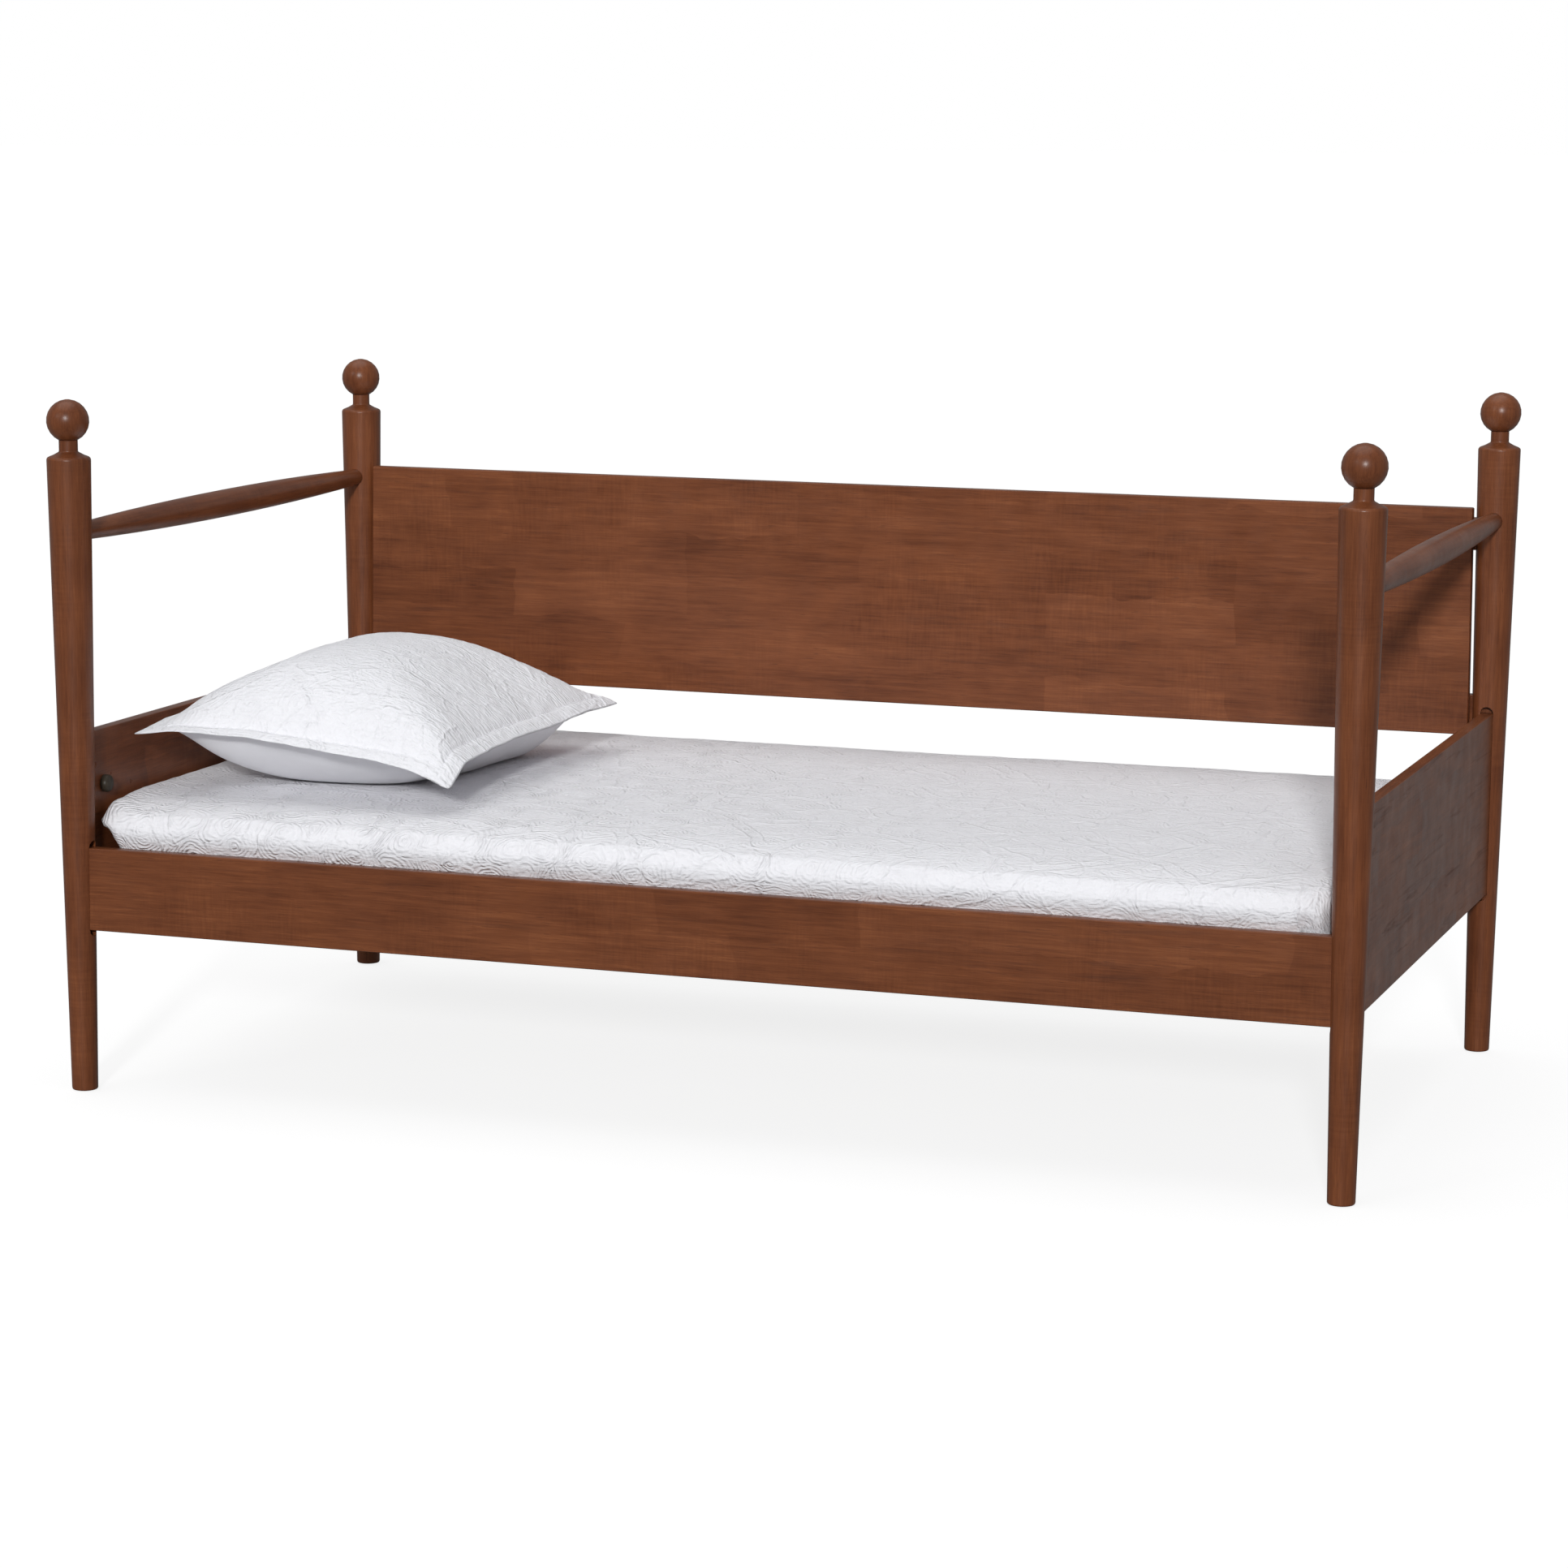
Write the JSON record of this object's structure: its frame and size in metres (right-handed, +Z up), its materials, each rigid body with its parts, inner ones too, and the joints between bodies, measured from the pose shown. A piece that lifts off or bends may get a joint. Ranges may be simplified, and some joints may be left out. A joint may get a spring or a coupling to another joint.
{
  "type": "daybed",
  "caption": "Twin daybed with turned ball-top posts, low end panels, spindle arm rails, panelled back, slatted base, covered mattress and sham pillow.",
  "frame": {"origin": "on the floor, under the middle of the bed", "axes": "+X along the bed towards the right-hand end, +Y towards the back panel, +Z up"},
  "size_m": [2.0158, 1.0958, 1.0494],
  "materials": {
    "walnut": "walnut-brown stain under satin lacquer",
    "slat_wood": "plain planed softwood",
    "zinc_steel": "zinc plated",
    "cap_plastic": "satin moulded",
    "ticking": "woven ticking",
    "matelasse": "raised matelasse cotton",
    "sham": "matelasse front and plain cotton back"
  },
  "bodies": {
    "frame": {"post_front_left": "walnut", "ball_finial_front_left": "walnut", "post_front_right": "walnut", "ball_finial_front_right": "walnut", "post_rear_left": "walnut", "ball_finial_rear_left": "walnut", "post_rear_right": "walnut", "ball_finial_rear_right": "walnut", "front_rail": "walnut", "rear_rail": "walnut", "front_slat_cleat": "walnut", "rear_slat_cleat": "walnut", "end_panel_left": "walnut", "end_panel_right": "walnut", "arm_rail_left": "walnut", "arm_rail_right": "walnut", "back_panel": "walnut", "back_batten_upper": "walnut", "back_batten_lower": "walnut", "slat_01": "slat_wood", "slat_02": "slat_wood", "slat_03": "slat_wood", "slat_04": "slat_wood", "slat_05": "slat_wood", "slat_06": "slat_wood", "slat_07": "slat_wood", "slat_08": "slat_wood", "slat_09": "slat_wood", "slat_10": "slat_wood", "slat_11": "slat_wood", "slat_12": "slat_wood", "slat_13": "slat_wood", "rail_stud_lower_front_left": "zinc_steel", "panel_stud_lower_front_left": "zinc_steel", "rail_stud_upper_front_left": "zinc_steel", "panel_stud_upper_front_left": "zinc_steel", "rail_stud_lower_front_right": "zinc_steel", "panel_stud_lower_front_right": "zinc_steel", "rail_stud_upper_front_right": "zinc_steel", "panel_stud_upper_front_right": "zinc_steel", "rail_stud_lower_rear_left": "zinc_steel", "panel_stud_lower_rear_left": "zinc_steel", "rail_stud_upper_rear_left": "zinc_steel", "panel_stud_upper_rear_left": "zinc_steel", "rail_stud_lower_rear_right": "zinc_steel", "panel_stud_lower_rear_right": "zinc_steel", "rail_stud_upper_rear_right": "zinc_steel", "panel_stud_upper_rear_right": "zinc_steel", "bolt_cap_lower_front_left": "cap_plastic", "bolt_cap_upper_front_left": "cap_plastic", "bolt_cap_lower_front_right": "cap_plastic", "bolt_cap_upper_front_right": "cap_plastic", "bolt_cap_lower_rear_left": "cap_plastic", "bolt_cap_upper_rear_left": "cap_plastic", "bolt_cap_lower_rear_right": "cap_plastic", "bolt_cap_upper_rear_right": "cap_plastic"},
    "bedding": {"mattress": "ticking", "coverlet": "matelasse"},
    "pillow": {"pillow": "sham"}
  },
  "joints": [
    {"name": "mattress_lift", "type": "slide", "parent": "frame", "child": "bedding", "axis": [0, 0, 1], "range_m": [0, 0.8]},
    {"name": "pillow_lift", "type": "slide", "parent": "bedding", "child": "pillow", "axis": [0, 0, 1], "range_m": [0, 0.65]}
  ]
}
